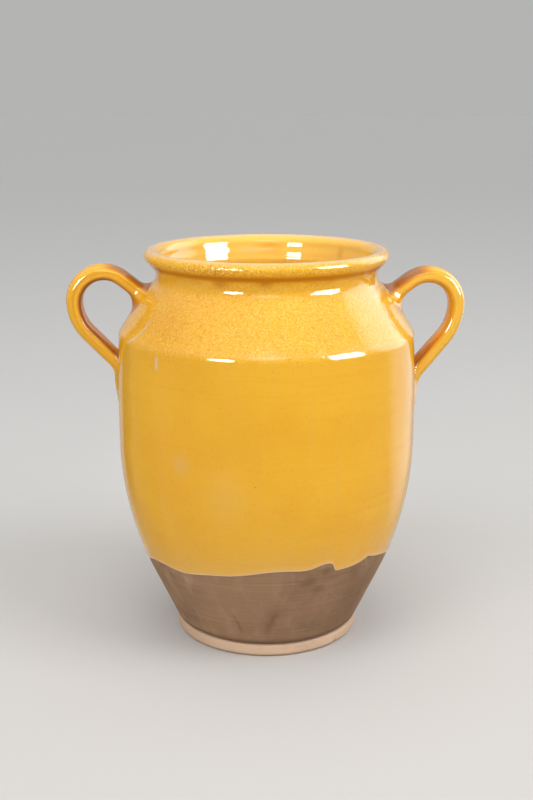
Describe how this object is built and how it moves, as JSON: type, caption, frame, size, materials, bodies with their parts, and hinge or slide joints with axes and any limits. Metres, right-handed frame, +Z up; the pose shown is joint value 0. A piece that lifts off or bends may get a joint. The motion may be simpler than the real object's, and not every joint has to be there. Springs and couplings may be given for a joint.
{
  "type": "confit pot",
  "caption": "Tall open earthenware pot with a rolled lip, sloping shoulder, tapering foot and a pulled strap handle on each side, glazed above a bare lower wall.",
  "frame": {"origin": "centre of the foot, on the plane the pot stands on", "axes": "+Z up along the turning axis; the handles lie along X, the higher one at -X; -Y faces the viewer"},
  "size_m": [0.2616, 0.1972, 0.26],
  "materials": {
    "honey_glaze": "glossy honey-yellow glaze over earthenware",
    "brown_slip": "matt brown slip wash, wiped thin",
    "bare_clay": "bare cream earthenware, smooth and matt"
  },
  "bodies": {
    "root": {"pot_body": "honey_glaze", "left_handle": "honey_glaze", "right_handle": "honey_glaze"}
  },
  "joints": []
}
